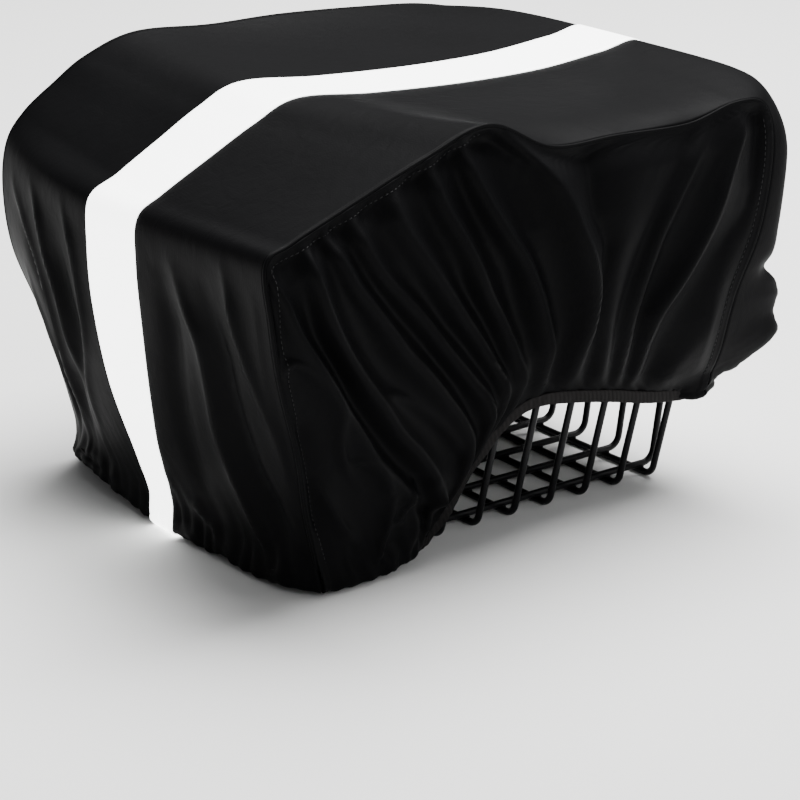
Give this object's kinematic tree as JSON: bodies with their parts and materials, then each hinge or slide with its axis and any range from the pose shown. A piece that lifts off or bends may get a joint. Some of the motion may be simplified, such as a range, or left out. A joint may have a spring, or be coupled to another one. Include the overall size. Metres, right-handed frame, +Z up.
{
  "type": "bicycle basket rain cover on a wire bicycle basket",
  "caption": "Coated fabric rain cover with piped seams, a broad reflective tape and a bound hem, draped over an open wire bicycle basket that holds it up.",
  "frame": {"origin": "centre of the bounding box on the plane under the basket floor", "axes": "+X to the front of the bicycle, +Y to its left side, +Z up"},
  "size_m": [0.3614, 0.3284, 0.2477],
  "materials": {
    "wire": "black plastic-coated steel wire, satin",
    "cloth": "black coated woven polyester with a soft sheen",
    "binding": "black woven elastic binding, matte",
    "strip": "white reflective tape, smooth"
  },
  "bodies": {
    "root": {"cross_wire_1": "wire", "cross_wire_2": "wire", "cross_wire_3": "wire", "cross_wire_4": "wire", "cross_wire_5": "wire", "cross_wire_6": "wire", "cross_wire_7": "wire", "cross_wire_8": "wire", "cross_wire_9": "wire", "cross_wire_10": "wire", "long_wire_1": "wire", "long_wire_2": "wire", "long_wire_3": "wire", "long_wire_4": "wire", "long_wire_5": "wire", "long_wire_6": "wire", "long_wire_7": "wire", "rim_wire": "wire", "centre_panel": "cloth", "side_panel_right": "cloth", "side_panel_left": "cloth", "piping_right": "cloth", "piping_left": "cloth", "reflective_strip": "strip", "hem_binding": "binding"}
  },
  "joints": []
}
